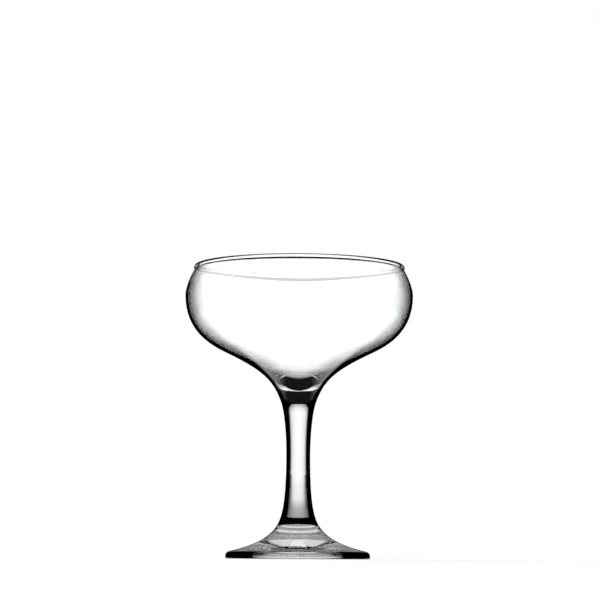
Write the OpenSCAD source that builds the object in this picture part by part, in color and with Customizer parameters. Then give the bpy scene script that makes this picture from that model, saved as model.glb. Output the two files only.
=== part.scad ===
// Coupe glass: a wide shallow bowl on a solid waisted stem and a round foot.
// The axis of the glass is Z, and the foot stands on the plane z = 0.

/* [Bowl] */
// Height of the bowl, from its fused base to the top of the rim
bowl_h = 60.5; // [56:0.5:72]
// Widest outside diameter
belly_d = 101.6; // [96:0.2:112]
// Height of the widest point above the bowl's base
belly_up = 46.8; // [42:0.2:50]
// Outside diameter over the bead of the rim
rim_d = 94.2; // [88:0.2:98]
// Thickness of the bead
bead_d = 2.6; // [1.8:0.1:3.2]
// Outside diameter where the underside turns from hollow to full
shoulder_d = 66.6; // [56:0.2:76]
// Height of that turn above the bowl's base
shoulder_up = 21.8; // [18:0.2:26]
// Slope of the underside at that turn, in degrees from level
shoulder_slope = 25.5; // [18:0.5:34]
// Wall at the widest point
side_wall = 1; // [0.8:0.1:1.8]
// Wall at the turn of the underside
shoulder_wall = 1.1; // [0.9:0.1:2]
// Solid glass between the bowl's base and its hollow
bowl_floor = 5.5; // [5:0.1:9]

/* [Stem] */
// Length of the stem between its two fused ends
stem_l = 54; // [40:0.5:90]
// Diameter of the fused end under the bowl
neck_d = 16.1; // [13:0.1:20]
// Slope of the outline at that end, in degrees from level
neck_slope = 69; // [60:1:80]
// Diameter at the waist
waist_d = 10.6; // [8:0.1:12.5]
// Height of the waist above the stem's lower end
waist_up = 29.5; // [24:0.5:34]
// Diameter of the fused end on the foot
ankle_d = 17.2; // [14:0.1:21]
// Slope of the outline at that end, in degrees from level
ankle_slope = 65; // [55:1:75]

/* [Foot] */
// Height of the foot, up to its fused end
foot_h = 16; // [13:0.5:20]
// Diameter of the foot
foot_d = 64.1; // [56:0.1:74]
// Height at which the rounded edge meets the sloping top
edge_h = 3.3; // [2.8:0.1:4.5]
// Radius of the rounding above the edge
edge_round = 2.3; // [1.2:0.1:2.6]
// Radius of the rounding below the edge
base_round = 0.4; // [0.2:0.1:0.8]
// Slope of the top beside the edge, in degrees from level
plate_slope = 12.5; // [8:0.5:18]
// Diameter of the hollow under the foot
hollow_d = 52; // [36:0.5:54]
// Height of that hollow at its middle
hollow_h = 0.4; // [0.2:0.1:3]

/* [Hidden] */

// How fine the outlines are
curve_steps = 24;
arc_steps = 12;
$fn = 180;

// Tint of the clear glass
glass_colour = [0.86, 0.91, 0.9];
glass_alpha = 0.4;

// Where the bead leaves the outer and the inner wall, in degrees round its middle
bead_outer_turn = -42;
bead_inner_turn = 286;
// Slope of both walls where they meet the bead, in degrees from level
rim_slope = 122;

// How far each end of a curve follows its own slope, as shares of the curve's chord
plate_shares = [0.29, 0.345];
lower_stem_shares = [0.115, 0.7];
upper_stem_shares = [0.246, 0.256];
underside_shares = [0.294, 0.574];
side_shares = [0.31, 0.469];
rim_shares = [0.25, 0.3];
hollow_shares = [0.15, 0.55];

stem_z = foot_h;
bowl_z = stem_z + stem_l;

// Unit step in the direction of a slope
function along(slope) = [cos(slope), sin(slope)];

// Point at share t of the curve that four points draw
function curve_point(h, t) =
  (1 - t) ^ 3 * h[0] + 3 * (1 - t) ^ 2 * t * h[1] + 3 * (1 - t) * t ^ 2 * h[2] + t ^ 3 * h[3];

// Curve that leaves p at one slope and arrives at q at another
function curve(p, q, slopes, shares) =
  let (chord = norm(q - p),
       leave = p + chord * shares[0] * along(slopes[0]),
       arrive = q - chord * shares[1] * along(slopes[1]))
  [for (i = [0 : curve_steps]) curve_point([p, leave, arrive, q], i / curve_steps)];

// Part of a circle, from one turn to another
function arc(middle, radius, turns) =
  [for (i = [0 : arc_steps]) middle + radius * along(turns[0] + (turns[1] - turns[0]) * i / arc_steps)];

// The same line run the other way, and a line without its first point
function back(line) = [for (i = [len(line) - 1 : -1 : 0]) line[i]];
function rest(line) = [for (i = [1 : len(line) - 1]) line[i]];

// Lines joined end to end
function joined(lines) = [for (i = [0 : len(lines) - 1]) each i == 0 ? lines[i] : rest(lines[i])];

// Solid of revolution from half of its section
module turned(section) {
  color(glass_colour, glass_alpha)
    rotate_extrude()
      polygon(section);
}

// Half section of the bowl, from the middle of its base round the wall to the middle of its hollow
function bowl_section() =
  let (neck = [neck_d / 2, 0],
       shoulder = [shoulder_d / 2, shoulder_up],
       belly = [belly_d / 2, belly_up],
       bead_middle = [rim_d - bead_d, 2 * bowl_h - bead_d] / 2,
       bead = arc(bead_middle, bead_d / 2, [bead_outer_turn, bead_inner_turn]),
       inner_belly = belly - [side_wall, 0],
       inner_shoulder = shoulder + shoulder_wall * along(shoulder_slope + 90),
       hollow = [0, bowl_floor])
  joined([
    [[0, 0], neck],
    curve(neck, shoulder, [neck_slope, shoulder_slope], underside_shares),
    curve(shoulder, belly, [shoulder_slope, 90], side_shares),
    curve(belly, bead[0], [90, rim_slope], rim_shares),
    bead,
    back(curve(inner_belly, bead[arc_steps], [90, rim_slope], rim_shares)),
    back(curve(inner_shoulder, inner_belly, [shoulder_slope, 90], side_shares)),
    back(curve(hollow, inner_shoulder, [0, shoulder_slope], hollow_shares)),
  ]);

// Half section of the stem, waisted between its two flat ends
function stem_section() =
  let (ankle = [ankle_d / 2, 0],
       waist = [waist_d / 2, waist_up],
       neck = [neck_d / 2, stem_l])
  joined([
    [[0, 0], ankle],
    curve(ankle, waist, [180 - ankle_slope, 90], lower_stem_shares),
    curve(waist, neck, [90, neck_slope], upper_stem_shares),
    [neck, [0, stem_l]],
  ]);

// Half section of the foot, from the middle of the hollow under it round the edge to its fused end
function foot_section() =
  let (hollow_r = (pow(hollow_d / 2, 2) + pow(hollow_h, 2)) / (2 * hollow_h),
       hollow_turn = asin(hollow_d / 2 / hollow_r),
       hollow = arc([0, hollow_h - hollow_r], hollow_r, [90, 90 - hollow_turn]),
       base = arc([foot_d / 2 - base_round, base_round], base_round, [-90, 0]),
       edge_middle = [foot_d / 2 - edge_round, edge_h - edge_round * cos(plate_slope)],
       edge = arc(edge_middle, edge_round, [0, 90 - plate_slope]),
       ankle = [ankle_d / 2, foot_h])
  concat(
    hollow,
    base,
    edge,
    rest(curve(edge[arc_steps], ankle, [180 - plate_slope, 180 - ankle_slope], plate_shares)),
    [[0, foot_h]]
  );

// Blown bowl with the bead of its rim
module bowl() {
  translate([0, 0, bowl_z])
    turned(bowl_section());
}

// Solid stem
module stem() {
  translate([0, 0, stem_z])
    turned(stem_section());
}

// Pressed foot
module foot() {
  turned(foot_section());
}

bowl();
stem();
foot();
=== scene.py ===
import math

import bpy
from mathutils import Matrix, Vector


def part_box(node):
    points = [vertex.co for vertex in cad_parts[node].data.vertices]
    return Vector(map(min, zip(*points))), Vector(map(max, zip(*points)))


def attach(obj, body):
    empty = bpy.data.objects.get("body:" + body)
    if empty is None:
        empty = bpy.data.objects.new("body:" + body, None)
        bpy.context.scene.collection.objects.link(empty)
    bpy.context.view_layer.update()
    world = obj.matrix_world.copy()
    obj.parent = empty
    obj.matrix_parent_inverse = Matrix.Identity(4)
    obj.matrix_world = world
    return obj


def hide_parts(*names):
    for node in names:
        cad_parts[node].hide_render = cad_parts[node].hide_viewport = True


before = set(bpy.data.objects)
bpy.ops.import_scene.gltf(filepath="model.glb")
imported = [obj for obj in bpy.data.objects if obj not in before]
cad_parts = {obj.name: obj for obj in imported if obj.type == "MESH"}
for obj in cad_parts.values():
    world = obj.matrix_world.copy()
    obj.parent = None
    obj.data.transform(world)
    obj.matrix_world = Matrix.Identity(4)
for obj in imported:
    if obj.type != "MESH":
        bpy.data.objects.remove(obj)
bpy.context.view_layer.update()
bowl_low, bowl_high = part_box("bowl")
stem_low, stem_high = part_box("stem")
foot_low, foot_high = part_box("foot")

bl_info = {
    "name": "Coupe glass",
    "version": (1, 0, 0),
    "blender": (4, 5, 0),
    "location": "3D View > Sidebar > Coupe glass",
    "description": "Models the three fused pieces of a coupe glass and the studio that it stands in",
    "category": "Add Mesh",
}

MM = 0.001
UPRIGHT = math.pi / 2
TURN_STEPS = 320
SHARP_ANGLE = math.radians(35)
MERGE_DISTANCE = 0.002 * MM

# Points on each span of an outline
BOWL_STEPS = 14
STEM_STEPS = 24
FOOT_STEPS = 28

# Where the bead leaves the outer and the inner wall, round its middle, and the slope of both walls there
BEAD_TURNS = (math.radians(-42), math.radians(286))
RIM_TURN = math.radians(122)

# How far each end of a curve follows its own slope, as shares of the curve's chord
UNDERSIDE_SHARES = (0.294, 0.574)
SIDE_SHARES = (0.31, 0.469)
RIM_SHARES = (0.25, 0.3)
HOLLOW_SHARES = (0.15, 0.55)
LOWER_STEM_SHARES = (0.115, 0.7)
UPPER_STEM_SHARES = (0.246, 0.256)
PLATE_SHARES = (0.29, 0.345)

# Share of the hollow's radius over which the chill ripples fade out
RIPPLE_FADE = 0.2

# Clear glass, with painted shade. What darkens it below is for the camera's picture alone: the export reads
# each surface head on, and within this much of head on the darkening is left out, so the exported glass is
# clear
GLASS_IOR = 1.52
GLASS_TINT = (0.985, 0.992, 0.99)
HEAD_ON = 0.00002

# Painted shade on the glass, for the camera: how bright its colour stays by how far it is turned from the
# eye, from 0 head on to 1 edge on
BLOWN_SHADE_STOPS = ((0.38, 1), (0.49, 0.83), (0.55, 0.6), (0.583, 0.4), (0.64, 0.18), (0.7, 0.06), (0.79, 0))
DRAWN_SHADE_STOPS = ((0, 0.6), (0.05, 0.48), (0.107, 0.38), (0.152, 0.25), (0.22, 0.12), (0.32, 0))
PRESSED_SHADE_STOPS = ((0.45, 0.3), (0.65, 0.2), (0.8, 0))

# How much of a slope counts in that turn
BLOWN_SLOPE_SHARE = 0.85
SOLID_SLOPE_SHARE = 0.25

# Painted shade by height: what is added to that turn from one height to another, darker where it is more and
# lighter where it is less
BLOWN_SHADE_SHIFTS = (
    (92 * MM, 81 * MM, 0.24),
    (84 * MM, 80.4 * MM, 0.11),
    (79.5 * MM, 78 * MM, -0.11),
    (74.5 * MM, 73 * MM, 0.56),
    (116 * MM, 128 * MM, -0.1),
    (129.2 * MM, 129.6 * MM, 0.45),
)
DRAWN_SHADE_SHIFTS = (
    (64 * MM, 70 * MM, 0.3),
    (38 * MM, 28 * MM, 0.08),
    (18.4 * MM, 17.4 * MM, 0.4),
)
PRESSED_SHADE_SHIFTS = (
    (5.2 * MM, 3.5 * MM, 0.33),
    (3.5 * MM, 2.9 * MM, 0.25),
    (14.4 * MM, 15.4 * MM, 0.9),
)

# Lit panels round the glass: azimuth from +Y, half width and softness of the edges, in degrees
BACK_PANEL = (0, 28, 5)
SIDE_PANELS = ((-90, 20, 5), (90, 20, 5))
# Elevations between which the side panels end
SIDE_PANEL_TOP = (math.radians(14), math.radians(10))

# Panel that the foot's top mirrors, and the elevations between which it begins and ends
SHEEN_PANEL = (0, 10, 4)
SHEEN_PANEL_FOOT = (math.radians(7), math.radians(11))
SHEEN_PANEL_TOP = (math.radians(45), math.radians(30))

# Painted light on the table, a glow that only the glass sees: the part behind the glass, and where it changes
# from its near to its far level
BACK_TABLE = (0, 24, 8)
TABLE_CHANGE = (0.05, 0.3)
# Where the painted light ring round the foot begins to end and has ended, before and past its own limit
RING_EDGE = (0.01, 0.02)
# Other parts of the table with painted light: azimuth and half width in degrees, and from where to where
TABLE_PANELS = (
    (-52, 25, 0.04, 0.5),
    (52, 25, 0.04, 0.5),
    (-135, 30, 0.15, 0.75),
    (135, 30, 0.15, 0.75),
    (-90, 20, 0.3, 6),
    (90, 20, 0.3, 6),
)
TABLE_PANEL_EDGE = 5
TABLE_PANEL_RISE = 1.3
TABLE_PANEL_FALL = 1.2

# Painted light on the table that the bowl's underside mirrors: its part, what is left of it elsewhere, and
# its edges
SHEEN_TABLE = (0, 85, 30)
SHEEN_ELSEWHERE = 0.1
SHEEN_TABLE_FROM = (0.03, 0.036)
SHEEN_TABLE_EDGE = 0.03

# The table as the camera sees it: its own white, and the share of grey that takes the shadow
TABLE_WHITE = 0.86
TABLE_GREY = (0.15, 0.15, 0.15, 1)
TABLE_R = 6
TABLE_GAP = 0.2 * MM

# Black card behind the rim: its size, how far it begins below its middle, and what it lets pass
CARD_SIZE = 0.24
CARD_DROP = 0.11
CARD_DEEP = 2.5
CARD_PASSED = 0.55

LAMP_PLACE = (-0.4, -0.4, 1)
LAMP_TURN = (math.radians(-20), math.radians(-20), 0)
LAMP_ANGLE = math.radians(60)
BOUNCES = 40


def length(label, about, size):
    """A length that a user would change, in metres."""
    return bpy.props.FloatProperty(name=label, description=about, default=size, unit="LENGTH", precision=5)


def slope(label, about, degrees):
    """An angle that a user would change, from level."""
    turn = math.radians(degrees)
    return bpy.props.FloatProperty(name=label, description=about, default=turn, unit="ROTATION")


def share(label, about, size):
    """A plain number that a user would change."""
    return bpy.props.FloatProperty(name=label, description=about, default=size, subtype="FACTOR")


class BowlSizes(bpy.types.PropertyGroup):
    """Sizes of the blown bowl"""
    base_z: length("Base height", "Height of the fused base above the table", bowl_low.z)
    top_z: length("Rim height", "Height of the top of the rim above the table", bowl_high.z)
    belly_d: length("Belly diameter", "Widest outside diameter", bowl_high.x - bowl_low.x)
    belly_up: length("Belly height", "Height of the widest point above the base", 46.8 * MM)
    rim_d: length("Rim diameter", "Outside diameter over the bead of the rim", 94.2 * MM)
    bead_d: length("Bead", "Thickness of the bead of the rim", 2.6 * MM)
    shoulder_d: length("Shoulder diameter", "Diameter where the underside turns to full", 66.6 * MM)
    shoulder_up: length("Shoulder height", "Height of that turn above the base", 21.8 * MM)
    shoulder_slope: slope("Shoulder slope", "Slope of the underside at that turn", 25.5)
    neck_d: length("Neck diameter", "Diameter of the fused base", 16.1 * MM)
    neck_slope: slope("Neck slope", "Slope of the outline at the fused base", 69)
    side_wall: length("Side wall", "Wall at the widest point", 1.0 * MM)
    shoulder_wall: length("Shoulder wall", "Wall at the turn of the underside", 1.1 * MM)
    floor: length("Floor", "Solid glass between the fused base and the hollow", 5.5 * MM)


class StemSizes(bpy.types.PropertyGroup):
    """Sizes of the drawn stem"""
    base_z: length("Lower end", "Height of the lower fused end above the table", stem_low.z)
    top_z: length("Upper end", "Height of the upper fused end above the table", stem_high.z)
    ankle_d: length("Ankle diameter", "Diameter of the fused end on the foot", stem_high.x - stem_low.x)
    ankle_slope: slope("Ankle slope", "Slope of the outline at that end", 65)
    waist_d: length("Waist diameter", "Diameter at the waist", 10.6 * MM)
    waist_up: length("Waist height", "Height of the waist above the lower end", 29.5 * MM)
    neck_d: length("Neck diameter", "Diameter of the fused end under the bowl", 16.1 * MM)
    neck_slope: slope("Neck slope", "Slope of the outline at that end", 69)


class FootSizes(bpy.types.PropertyGroup):
    """Sizes of the pressed foot"""
    top_z: length("Upper end", "Height of the fused end above the table", foot_high.z)
    foot_d: length("Foot diameter", "Diameter of the foot", foot_high.x - foot_low.x)
    edge_h: length("Edge height", "Height at which the rounded edge meets the sloping top", 3.3 * MM)
    edge_round: length("Edge rounding", "Radius of the rounding above the edge", 2.3 * MM)
    base_round: length("Base rounding", "Radius of the rounding below the edge", 0.4 * MM)
    plate_slope: slope("Plate slope", "Slope of the top beside the edge", 12.5)
    ankle_d: length("Ankle diameter", "Diameter of the fused end", stem_high.x - stem_low.x)
    ankle_slope: slope("Ankle slope", "Slope of the outline at the fused end", 65)
    hollow_d: length("Hollow diameter", "Diameter of the hollow under the foot", 52 * MM)
    hollow_h: length("Hollow height", "Height of that hollow at its middle", 0.4 * MM)
    ripple_h: length("Ripple height", "Height of the chill ripples under the foot", 0.09 * MM)
    ripple_l: length("Ripple length", "Length of the chill ripples under the foot", 5 * MM)


class StudioSettings(bpy.types.PropertyGroup):
    """Camera and light"""
    camera_distance: length("Camera distance", "Distance from the lens to the axis of the glass", 1.1)
    camera_height: length("Camera height", "Height of the lens above the table", 3 * MM)
    camera_aim: length("Aim", "Height on the axis that the camera looks at", 115 * MM)
    camera_aside: length("Camera aside", "How far the lens is beside the axis", 0.35 * MM)
    camera_roll: slope("Roll", "How far the camera leans", 0.35)
    camera_lens: bpy.props.FloatProperty(
        name="Lens", description="Focal length", default=148.5, unit="CAMERA")
    panel_level: share("Panel level", "Brightness of the panels that the glass shows", 1.45)
    # Levels of painted light on the table, which only the glass sees
    table_level: share("Table level", "Level of the table behind the foot, as a share of the panels", 0.45)
    table_far_level: share("Far table level", "Level of the table farther back, as a share of the panels", 1)
    ring_level: share("Ring level", "Level of the table round the foot, as a share of the panels", 0.45)
    ring_to: length("Ring to", "Distance from the axis at which that ring ends", 0.1)
    back_sheen: share("Back sheen", "Brightness of the panel that the foot's top mirrors", 0.3)
    # Painted light on the table that the bowl's underside mirrors
    table_sheen: share("Table sheen", "Brightness of the table that the bowl's underside mirrors", 1.2)
    sheen_to: length("Sheen to", "Distance from the axis at which the mirrored table ends", 0.15)
    lamp_level: share("Lamp level", "Brightness of a white floor under the soft lamp", 1.1)
    card_y: length("Card distance", "Distance of the black card behind the axis", 0.12)
    card_z: length("Card height", "Height at which the black card begins", 0.1545)
    card_edge: length("Card edge", "How softly the black card begins", 0.002)


def along(turn):
    """Unit step in the half plane of the outline, at an angle from level."""
    return Vector((math.cos(turn), 0, math.sin(turn)))


def at(radius, height):
    """A point of the outline."""
    return Vector((radius, 0, height))


def straight(start, end):
    """One span that runs straight."""
    third = (end - start) / 3
    return [(start, start + third, end - third, end)]


def sweep(start, end, turns, shares):
    """One span that leaves start at one angle and arrives at end at another."""
    chord = (end - start).length
    leave = along(turns[0]) * chord * shares[0]
    arrive = along(turns[1]) * chord * shares[1]
    return [(start, start + leave, end - arrive, end)]


def arc(middle, radius, turns, count):
    """Part of a circle as a few spans."""
    step = (turns[1] - turns[0]) / count
    reach = 4 / 3 * math.tan(step / 4) * radius
    spans = []
    for i in range(count):
        first = turns[0] + i * step
        last = first + step
        start = middle + along(first) * radius
        end = middle + along(last) * radius
        leave = along(first + UPRIGHT) * reach
        arrive = along(last + UPRIGHT) * reach
        spans.append((start, start + leave, end - arrive, end))
    return spans


def reverse(spans):
    """The same spans run the other way."""
    return [span[::-1] for span in reversed(spans)]


def turned_piece(name, spans, resolution):
    """Draws half an outline as a curve and spins it into a closed piece."""
    bpy.ops.object.select_all(action="DESELECT")
    bpy.ops.curve.primitive_bezier_curve_add(location=(0, 0, 0))
    outline = bpy.context.object
    outline.name = name
    outline.data.dimensions = "3D"
    outline.data.resolution_u = resolution
    points = outline.data.splines[0].bezier_points
    points.add(len(spans) + 1 - len(points))
    for i, point in enumerate(points):
        point.handle_left_type = "FREE"
        point.handle_right_type = "FREE"
        before = spans[max(i - 1, 0)]
        after = spans[min(i, len(spans) - 1)]
        point.co = after[0] if i < len(spans) else before[3]
        point.handle_left = before[2] if i > 0 else point.co
        point.handle_right = after[1] if i < len(spans) else point.co
    bpy.ops.object.convert(target="MESH")
    piece = bpy.context.object
    piece.data.name = name
    lathe = piece.modifiers.new("lathe", "SCREW")
    lathe.steps = TURN_STEPS
    lathe.render_steps = TURN_STEPS
    bpy.ops.object.modifier_apply(modifier=lathe.name)
    bpy.ops.object.mode_set(mode="EDIT")
    bpy.ops.mesh.select_all(action="SELECT")
    bpy.ops.mesh.remove_doubles(threshold=MERGE_DISTANCE)
    bpy.ops.mesh.normals_make_consistent(inside=False)
    bpy.ops.object.mode_set(mode="OBJECT")
    bpy.ops.object.shade_smooth_by_angle(angle=SHARP_ANGLE)
    return piece


def dress(piece, glass, joint_heights):
    """Gives a piece its glass, and its fused ends the clear joint that light crosses unbent."""
    piece.data.materials.clear()
    piece.data.materials.append(glass)
    piece.data.materials.append(fused_joint())
    for face in piece.data.polygons:
        level = abs(face.normal.z) > math.cos(SHARP_ANGLE / 10)
        if level and min(abs(face.center.z - z) for z in joint_heights) < MERGE_DISTANCE:
            face.material_index = 1


def seat(piece, node):
    """Sets a finished piece in the frame in place of its CAD node."""
    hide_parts(node)
    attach(piece, "root")


def node(tree, kind, **settings):
    """A new node with its settings."""
    made = tree.nodes.new(kind)
    for name, value in settings.items():
        setattr(made, name, value)
    return made


def feed(tree, value, socket):
    """Links a socket to another, or sets it to a plain value."""
    if isinstance(value, bpy.types.NodeSocket):
        tree.links.new(value, socket)
    else:
        socket.default_value = value


def calc(tree, operation, *values):
    """One step of arithmetic."""
    made = node(tree, "ShaderNodeMath", operation=operation)
    for value, socket in zip(values, made.inputs):
        feed(tree, value, socket)
    return made.outputs["Value"]


def soft_step(tree, value, low, high):
    """0 below low, 1 above high, and smooth between; high may be the lower of the two."""
    made = node(tree, "ShaderNodeMapRange", interpolation_type="SMOOTHSTEP")
    feed(tree, value, made.inputs["Value"])
    feed(tree, low, made.inputs["From Min"])
    feed(tree, high, made.inputs["From Max"])
    return made.outputs["Result"]


def glass_with_painted_shade(name, shade_stops, slope_share, shade_shifts):
    """Clear glass with painted shade: to the camera its colour grows dark where it is edge on, sooner or
    later at some heights.
    """
    material = bpy.data.materials.get(name)
    if material:
        return material
    material = bpy.data.materials.new(name)
    material.use_nodes = True
    tree = material.node_tree
    shader = tree.nodes["Principled BSDF"]
    shader.inputs["Roughness"].default_value = 0
    shader.inputs["IOR"].default_value = GLASS_IOR
    shader.inputs["Transmission Weight"].default_value = 1
    squashed = node(tree, "ShaderNodeVectorMath", operation="MULTIPLY")
    feed(tree, node(tree, "ShaderNodeNewGeometry").outputs["Normal"], squashed.inputs[0])
    squashed.inputs[1].default_value = (1, 1, slope_share)
    unit = node(tree, "ShaderNodeVectorMath", operation="NORMALIZE")
    feed(tree, squashed.outputs["Vector"], unit.inputs[0])
    facing = node(tree, "ShaderNodeLayerWeight")
    feed(tree, unit.outputs["Vector"], facing.inputs["Normal"])
    # Painted shade: the ramp darkens the glass's colour as the surface turns edge on
    ramp = node(tree, "ShaderNodeValToRGB")
    stops = ramp.color_ramp.elements
    while len(stops) < len(shade_stops):
        stops.new(0.5)
    for stop, (place, level) in zip(stops, shade_stops):
        stop.position = place
        stop.color = [part * level for part in GLASS_TINT] + [1]
    height = node(tree, "ShaderNodeSeparateXYZ")
    feed(tree, node(tree, "ShaderNodeTexCoord").outputs["Object"], height.inputs["Vector"])
    edge = facing.outputs["Facing"]
    # Painted shade and light by height, added to that turn
    for low, high, shift in shade_shifts:
        edge = calc(tree, "MULTIPLY_ADD", soft_step(tree, height.outputs["Z"], low, high), shift, edge)
    feed(tree, edge, ramp.inputs["Fac"])
    # The painted shade reaches only camera rays, and leaves out what is seen head on
    aslant = soft_step(tree, node(tree, "ShaderNodeLayerWeight").outputs["Facing"], 0, HEAD_ON)
    in_sight = calc(tree, "MULTIPLY", node(tree, "ShaderNodeLightPath").outputs["Is Camera Ray"], aslant)
    first = node(tree, "ShaderNodeMix", data_type="RGBA")
    feed(tree, in_sight, first.inputs["Factor"])
    colours = {socket.identifier: socket for socket in [*first.inputs, *first.outputs]}
    colours["A_Color"].default_value = (*GLASS_TINT, 1)
    feed(tree, ramp.outputs["Color"], colours["B_Color"])
    feed(tree, colours["Result_Color"], shader.inputs["Base Color"])
    return material


def blown_glass():
    """Glass of the bowl, with painted shade close to its outline, less at the thin rim and more at the base.
    """
    return glass_with_painted_shade("blown_glass", BLOWN_SHADE_STOPS, BLOWN_SLOPE_SHARE, BLOWN_SHADE_SHIFTS)


def drawn_glass():
    """Glass of the solid stem, with painted shade that grows evenly away from its middle."""
    return glass_with_painted_shade("drawn_glass", DRAWN_SHADE_STOPS, SOLID_SLOPE_SHARE, DRAWN_SHADE_SHIFTS)


def pressed_glass():
    """Glass of the foot, with painted shade: grey to the camera, and darker at its edge and where it meets
    the stem.
    """
    return glass_with_painted_shade("pressed_glass", PRESSED_SHADE_STOPS, SOLID_SLOPE_SHARE, PRESSED_SHADE_SHIFTS)


def fused_joint():
    """Where two pieces are melted together, light goes straight on."""
    material = bpy.data.materials.get("fused_joint")
    if material:
        return material
    material = bpy.data.materials.new("fused_joint")
    material.use_nodes = True
    shader = material.node_tree.nodes["Principled BSDF"]
    shader.inputs["Base Color"].default_value = (1, 1, 1, 1)
    shader.inputs["Roughness"].default_value = 0
    shader.inputs["IOR"].default_value = 1
    shader.inputs["Transmission Weight"].default_value = 1
    return material


def sector_group():
    """Group that gives 1 where a direction lies near one compass direction, and 0 elsewhere."""
    group = bpy.data.node_groups.get("sector")
    if group:
        return group
    group = bpy.data.node_groups.new("sector", "ShaderNodeTree")
    face = group.interface
    face.new_socket("Vector", in_out="INPUT", socket_type="NodeSocketVector")
    face.new_socket("Toward", in_out="INPUT", socket_type="NodeSocketVector")
    face.new_socket("Half Width", in_out="INPUT", socket_type="NodeSocketFloat")
    face.new_socket("Edge", in_out="INPUT", socket_type="NodeSocketFloat")
    face.new_socket("Mask", in_out="OUTPUT", socket_type="NodeSocketFloat")
    inside = node(group, "NodeGroupInput").outputs
    outside = node(group, "NodeGroupOutput").inputs
    level = node(group, "ShaderNodeVectorMath", operation="MULTIPLY")
    feed(group, inside["Vector"], level.inputs[0])
    level.inputs[1].default_value = (1, 1, 0)
    unit = node(group, "ShaderNodeVectorMath", operation="NORMALIZE")
    feed(group, level.outputs["Vector"], unit.inputs[0])
    lined_up = node(group, "ShaderNodeVectorMath", operation="DOT_PRODUCT")
    feed(group, unit.outputs["Vector"], lined_up.inputs[0])
    feed(group, inside["Toward"], lined_up.inputs[1])
    turn = calc(group, "ARCCOSINE", lined_up.outputs["Value"])
    outer = calc(group, "ADD", inside["Half Width"], inside["Edge"])
    inner = calc(group, "SUBTRACT", inside["Half Width"], inside["Edge"])
    feed(group, soft_step(group, turn, outer, inner), outside["Mask"])
    return group


def sector(tree, vector, azimuth, half_width, edge):
    """Mask of one sector, with azimuth in degrees from +Y towards +X."""
    made = node(tree, "ShaderNodeGroup", node_tree=sector_group())
    feed(tree, vector, made.inputs["Vector"])
    turn = math.radians(azimuth)
    made.inputs["Toward"].default_value = (math.sin(turn), math.cos(turn), 0)
    made.inputs["Half Width"].default_value = math.radians(half_width)
    made.inputs["Edge"].default_value = math.radians(edge)
    return made.outputs["Mask"]


def seen_level(tree, panels, sheen, level):
    """Brightness by what looks: white to the camera, panels through the glass, sheen on its outside."""
    path = node(tree, "ShaderNodeLightPath").outputs
    outside = calc(tree, "LESS_THAN", path["Transmission Depth"], 0.5)
    once = calc(tree, "MULTIPLY", outside, calc(tree, "LESS_THAN", path["Glossy Depth"], 1.5))
    through = calc(tree, "MULTIPLY", panels, calc(tree, "SUBTRACT", 1, outside))
    shown = calc(tree, "MULTIPLY_ADD", sheen, once, through)
    by_glass = calc(tree, "LESS_THAN", path["Diffuse Depth"], 0.5)
    shown = calc(tree, "MULTIPLY", calc(tree, "MULTIPLY", shown, level), by_glass)
    return calc(tree, "MAXIMUM", path["Is Camera Ray"], shown)


def build_world(studio):
    """A dark room with bright panels, which only the glass shows."""
    world = bpy.data.worlds.new("studio")
    bpy.context.scene.world = world
    world.use_nodes = True
    tree = world.node_tree
    background = tree.nodes["Background"]
    direction = node(tree, "ShaderNodeTexCoord").outputs["Generated"]
    place = node(tree, "ShaderNodeSeparateXYZ")
    feed(tree, direction, place.inputs["Vector"])
    height = calc(tree, "ARCSINE", place.outputs["Z"])
    panels = sector(tree, direction, *BACK_PANEL)
    below_top = soft_step(tree, height, *SIDE_PANEL_TOP)
    for side_panel in SIDE_PANELS:
        panel = calc(tree, "MULTIPLY", sector(tree, direction, *side_panel), below_top)
        panels = calc(tree, "MAXIMUM", panels, panel)
    low = soft_step(tree, height, *SHEEN_PANEL_FOOT)
    high = soft_step(tree, height, *SHEEN_PANEL_TOP)
    sheen = calc(tree, "MULTIPLY", calc(tree, "MULTIPLY", low, high), sector(tree, direction, *SHEEN_PANEL))
    sheen = calc(tree, "MULTIPLY", sheen, studio.back_sheen)
    background.inputs["Color"].default_value = (1, 1, 1, 1)
    feed(tree, seen_level(tree, panels, sheen, studio.panel_level), background.inputs["Strength"])


def black_card(studio):
    """Card that shades the panel behind the rim, and lets pass what has crossed the whole bowl."""
    material = bpy.data.materials.new("black_card")
    material.use_nodes = True
    tree = material.node_tree
    tree.nodes.clear()
    place = node(tree, "ShaderNodeSeparateXYZ")
    feed(tree, node(tree, "ShaderNodeTexCoord").outputs["Object"], place.inputs["Vector"])
    above = soft_step(tree, place.outputs["Z"], -CARD_DROP - studio.card_edge, -CARD_DROP + studio.card_edge)
    path = node(tree, "ShaderNodeLightPath").outputs
    deep = calc(tree, "GREATER_THAN", path["Transmission Depth"], CARD_DEEP)
    held = calc(tree, "SUBTRACT", 1, calc(tree, "MULTIPLY", deep, CARD_PASSED))
    clear = node(tree, "ShaderNodeBsdfTransparent")
    black = node(tree, "ShaderNodeEmission")
    black.inputs["Strength"].default_value = 0
    mix = node(tree, "ShaderNodeMixShader")
    feed(tree, calc(tree, "MULTIPLY", above, held), mix.inputs["Fac"])
    tree.links.new(clear.outputs["BSDF"], mix.inputs[1])
    tree.links.new(black.outputs["Emission"], mix.inputs[2])
    out = node(tree, "ShaderNodeOutputMaterial")
    tree.links.new(mix.outputs["Shader"], out.inputs["Surface"])
    return material


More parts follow.
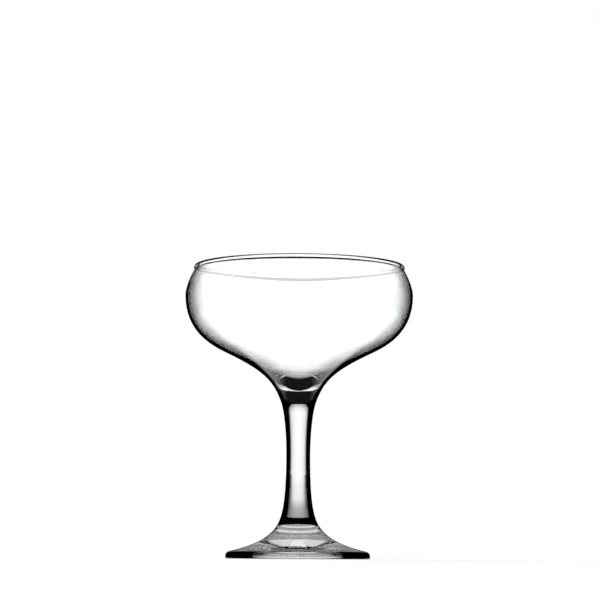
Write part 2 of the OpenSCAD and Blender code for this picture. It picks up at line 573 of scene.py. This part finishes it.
def table_top(studio):
    """White table: plain to the camera, and with painted light that only the glass sees, round the foot and
    in some directions.
    """
    material = bpy.data.materials.new("table_top")
    material.use_nodes = True
    tree = material.node_tree
    tree.nodes.clear()
    place = node(tree, "ShaderNodeTexCoord").outputs["Object"]
    reach = node(tree, "ShaderNodeVectorMath", operation="LENGTH")
    feed(tree, place, reach.inputs[0])
    reach = reach.outputs["Value"]
    # Painted light on the table: a ring round the foot, the part behind the glass and other parts
    ring_end = soft_step(tree, reach, studio.ring_to + RING_EDGE[1], studio.ring_to - RING_EDGE[0])
    ring = calc(tree, "MULTIPLY", ring_end, studio.ring_level)
    change = studio.table_far_level - studio.table_level
    fade = calc(tree, "MULTIPLY", soft_step(tree, reach, *TABLE_CHANGE), change)
    level = calc(tree, "ADD", fade, studio.table_level)
    behind = calc(tree, "MULTIPLY", sector(tree, place, *BACK_TABLE), level)
    panels = calc(tree, "MAXIMUM", ring, behind)
    for azimuth, half_width, near, far in TABLE_PANELS:
        begin = soft_step(tree, reach, near, TABLE_PANEL_RISE * near)
        end = soft_step(tree, reach, TABLE_PANEL_FALL * far, far)
        across = sector(tree, place, azimuth, half_width, TABLE_PANEL_EDGE)
        panel = calc(tree, "MULTIPLY", calc(tree, "MULTIPLY", begin, end), across)
        panels = calc(tree, "MAXIMUM", panels, panel)
    # Painted light on the table for the bowl's underside to mirror
    begin = soft_step(tree, reach, *SHEEN_TABLE_FROM)
    end = soft_step(tree, reach, studio.sheen_to + SHEEN_TABLE_EDGE, studio.sheen_to - SHEEN_TABLE_EDGE)
    rear = calc(tree, "MAXIMUM", sector(tree, place, *SHEEN_TABLE), SHEEN_ELSEWHERE)
    sheen = calc(tree, "MULTIPLY", calc(tree, "MULTIPLY", begin, end), rear)
    sheen = calc(tree, "MULTIPLY", sheen, studio.table_sheen)
    glow = node(tree, "ShaderNodeEmission")
    feed(tree, seen_level(tree, panels, sheen, studio.panel_level), glow.inputs["Strength"])
    white = node(tree, "ShaderNodeEmission")
    white.inputs["Strength"].default_value = TABLE_WHITE
    lit = node(tree, "ShaderNodeBsdfDiffuse")
    lit.inputs["Color"].default_value = TABLE_GREY
    plain = node(tree, "ShaderNodeAddShader")
    tree.links.new(white.outputs["Emission"], plain.inputs[0])
    tree.links.new(lit.outputs["BSDF"], plain.inputs[1])
    mix = node(tree, "ShaderNodeMixShader")
    feed(tree, node(tree, "ShaderNodeLightPath").outputs["Is Camera Ray"], mix.inputs["Fac"])
    tree.links.new(glow.outputs["Emission"], mix.inputs[1])
    tree.links.new(plain.outputs["Shader"], mix.inputs[2])
    out = node(tree, "ShaderNodeOutputMaterial")
    tree.links.new(mix.outputs["Shader"], out.inputs["Surface"])
    return material


class COUPE_OT_bowl(bpy.types.Operator):
    """Turn the blown bowl, from its fused base round the bead of the rim to the bottom of its hollow"""
    bl_idname = "coupe.bowl"
    bl_label = "Bowl"

    def execute(self, context):
        s = context.scene.coupe_bowl
        neck = at(s.neck_d / 2, s.base_z)
        shoulder = at(s.shoulder_d / 2, s.base_z + s.shoulder_up)
        belly = at(s.belly_d / 2, s.base_z + s.belly_up)
        bead_r = s.bead_d / 2
        bead = arc(at(s.rim_d / 2 - bead_r, s.top_z - bead_r), bead_r, BEAD_TURNS, 3)
        inner_belly = belly - at(s.side_wall, 0)
        inner_shoulder = shoulder + along(s.shoulder_slope + UPRIGHT) * s.shoulder_wall
        hollow = at(0, s.base_z + s.floor)
        outside = (
            straight(at(0, s.base_z), neck)
            + sweep(neck, shoulder, (s.neck_slope, s.shoulder_slope), UNDERSIDE_SHARES)
            + sweep(shoulder, belly, (s.shoulder_slope, UPRIGHT), SIDE_SHARES)
            + sweep(belly, bead[0][0], (UPRIGHT, RIM_TURN), RIM_SHARES)
        )
        inside = (
            sweep(hollow, inner_shoulder, (0, s.shoulder_slope), HOLLOW_SHARES)
            + sweep(inner_shoulder, inner_belly, (s.shoulder_slope, UPRIGHT), SIDE_SHARES)
            + sweep(inner_belly, bead[-1][3], (UPRIGHT, RIM_TURN), RIM_SHARES)
        )
        piece = turned_piece("bowl_blown", outside + bead + reverse(inside), BOWL_STEPS)
        dress(piece, blown_glass(), [s.base_z])
        seat(piece, "bowl")
        return {"FINISHED"}


class COUPE_OT_stem(bpy.types.Operator):
    """Turn the solid stem, waisted between its two fused ends"""
    bl_idname = "coupe.stem"
    bl_label = "Stem"

    def execute(self, context):
        s = context.scene.coupe_stem
        ankle = at(s.ankle_d / 2, s.base_z)
        waist = at(s.waist_d / 2, s.base_z + s.waist_up)
        neck = at(s.neck_d / 2, s.top_z)
        spans = (
            straight(at(0, s.base_z), ankle)
            + sweep(ankle, waist, (math.pi - s.ankle_slope, UPRIGHT), LOWER_STEM_SHARES)
            + sweep(waist, neck, (UPRIGHT, s.neck_slope), UPPER_STEM_SHARES)
            + straight(neck, at(0, s.top_z))
        )
        piece = turned_piece("stem_drawn", spans, STEM_STEPS)
        dress(piece, drawn_glass(), [s.base_z, s.top_z])
        seat(piece, "stem")
        return {"FINISHED"}


class COUPE_OT_foot(bpy.types.Operator):
    """Turn the pressed foot and ripple the hollow under it"""
    bl_idname = "coupe.foot"
    bl_label = "Foot"

    def execute(self, context):
        s = context.scene.coupe_foot
        half = s.hollow_d / 2
        hollow_r = (half ** 2 + s.hollow_h ** 2) / (2 * s.hollow_h)
        hollow_turn = math.asin(half / hollow_r)
        hollow = arc(at(0, s.hollow_h - hollow_r), hollow_r, (UPRIGHT, UPRIGHT - hollow_turn), 2)
        base = arc(at(s.foot_d / 2 - s.base_round, s.base_round), s.base_round, (-UPRIGHT, 0), 1)
        edge_z = s.edge_h - s.edge_round * math.cos(s.plate_slope)
        edge = arc(at(s.foot_d / 2 - s.edge_round, edge_z), s.edge_round, (0, UPRIGHT - s.plate_slope), 1)
        ankle = at(s.ankle_d / 2, s.top_z)
        plate_turns = (math.pi - s.plate_slope, math.pi - s.ankle_slope)
        spans = (
            hollow
            + straight(hollow[-1][3], base[0][0])
            + base
            + straight(base[-1][3], edge[0][0])
            + edge
            + sweep(edge[-1][3], ankle, plate_turns, PLATE_SHARES)
            + straight(ankle, at(0, s.top_z))
        )
        piece = turned_piece("foot_pressed", spans, FOOT_STEPS)
        self.ripple(piece, s)
        dress(piece, pressed_glass(), [s.top_z])
        seat(piece, "foot")
        return {"FINISHED"}

    def ripple(self, piece, s):
        """Raises soft ripples on the hollow, fading out towards the flat ring that it stands on."""
        hollow = piece.vertex_groups.new(name="hollow")
        for vertex in piece.data.vertices:
            reach = math.hypot(vertex.co.x, vertex.co.y) / (s.hollow_d / 2)
            if vertex.co.z < 2 * s.hollow_h and reach < 1:
                hollow.add([vertex.index], min(1, (1 - reach) / RIPPLE_FADE), "REPLACE")
        waves = bpy.data.textures.new("chill_ripples", "CLOUDS")
        waves.noise_scale = s.ripple_l
        waves.noise_depth = 1
        lift = piece.modifiers.new("ripples", "DISPLACE")
        lift.texture = waves
        lift.texture_coords = "LOCAL"
        lift.direction = "Z"
        lift.strength = s.ripple_h
        lift.mid_level = 0.5
        lift.vertex_group = hollow.name
        bpy.ops.object.modifier_apply(modifier=lift.name)


class COUPE_OT_studio(bpy.types.Operator):
    """Set up the table, the panels round it and the camera"""
    bl_idname = "coupe.studio"
    bl_label = "Studio"

    def execute(self, context):
        s = context.scene.coupe_studio
        bpy.ops.object.select_all(action="DESELECT")
        table_place = (0, 0, -TABLE_GAP)
        bpy.ops.mesh.primitive_circle_add(
            vertices=128, radius=TABLE_R, fill_type="NGON", location=table_place)
        table = context.object
        table.name = "table"
        table.data.materials.append(table_top(s))
        card_place = (0, s.card_y, s.card_z + CARD_DROP)
        bpy.ops.mesh.primitive_plane_add(size=CARD_SIZE, location=card_place, rotation=(UPRIGHT, 0, 0))
        card = context.object
        card.name = "black_card"
        bpy.ops.object.transform_apply(location=False, rotation=True, scale=True)
        card.data.materials.append(black_card(s))
        card.visible_camera = False
        build_world(s)
        bpy.ops.object.light_add(type="SUN", location=LAMP_PLACE, rotation=LAMP_TURN)
        lamp = context.object
        lamp.name = "soft_light"
        lamp.data.energy = s.lamp_level * math.pi
        lamp.data.angle = LAMP_ANGLE
        lamp.visible_glossy = False
        lamp.visible_transmission = False
        bpy.ops.object.camera_add(location=(s.camera_aside, -s.camera_distance, s.camera_height))
        camera = context.object
        tilt = math.atan2(s.camera_aim - s.camera_height, s.camera_distance)
        camera.rotation_euler = (UPRIGHT + tilt, 0, 0)
        camera.rotation_euler.rotate_axis("Z", s.camera_roll)
        camera.data.lens = s.camera_lens
        camera.data.clip_start = 0.01
        scene = context.scene
        scene.camera = camera
        scene.view_settings.view_transform = "Standard"
        scene.cycles.max_bounces = BOUNCES
        scene.cycles.glossy_bounces = BOUNCES
        scene.cycles.transmission_bounces = BOUNCES
        return {"FINISHED"}


class COUPE_PT_panel(bpy.types.Panel):
    """Lists the sizes and the steps"""
    bl_label = "Coupe glass"
    bl_idname = "COUPE_PT_panel"
    bl_space_type = "VIEW_3D"
    bl_region_type = "UI"
    bl_category = "Coupe glass"

    def draw(self, context):
        for step in STEPS:
            name = step.bl_idname.split(".")[1]
            column = self.layout.column(align=True)
            column.operator(step.bl_idname)
            settings = getattr(context.scene, "coupe_" + name)
            for key in settings.__annotations__:
                column.prop(settings, key)


STEPS = (COUPE_OT_bowl, COUPE_OT_stem, COUPE_OT_foot, COUPE_OT_studio)
SETTINGS = {
    "coupe_bowl": BowlSizes,
    "coupe_stem": StemSizes,
    "coupe_foot": FootSizes,
    "coupe_studio": StudioSettings,
}


def register():
    for group in SETTINGS.values():
        bpy.utils.register_class(group)
    for name, group in SETTINGS.items():
        setattr(bpy.types.Scene, name, bpy.props.PointerProperty(type=group))
    for step in STEPS:
        bpy.utils.register_class(step)
    bpy.utils.register_class(COUPE_PT_panel)


def unregister():
    bpy.utils.unregister_class(COUPE_PT_panel)
    for step in reversed(STEPS):
        bpy.utils.unregister_class(step)
    for name, group in SETTINGS.items():
        delattr(bpy.types.Scene, name)
        bpy.utils.unregister_class(group)


def main():
    register()
    bpy.ops.coupe.bowl()
    bpy.ops.coupe.stem()
    bpy.ops.coupe.foot()
    bpy.ops.coupe.studio()


if __name__ == "__main__":
    main()
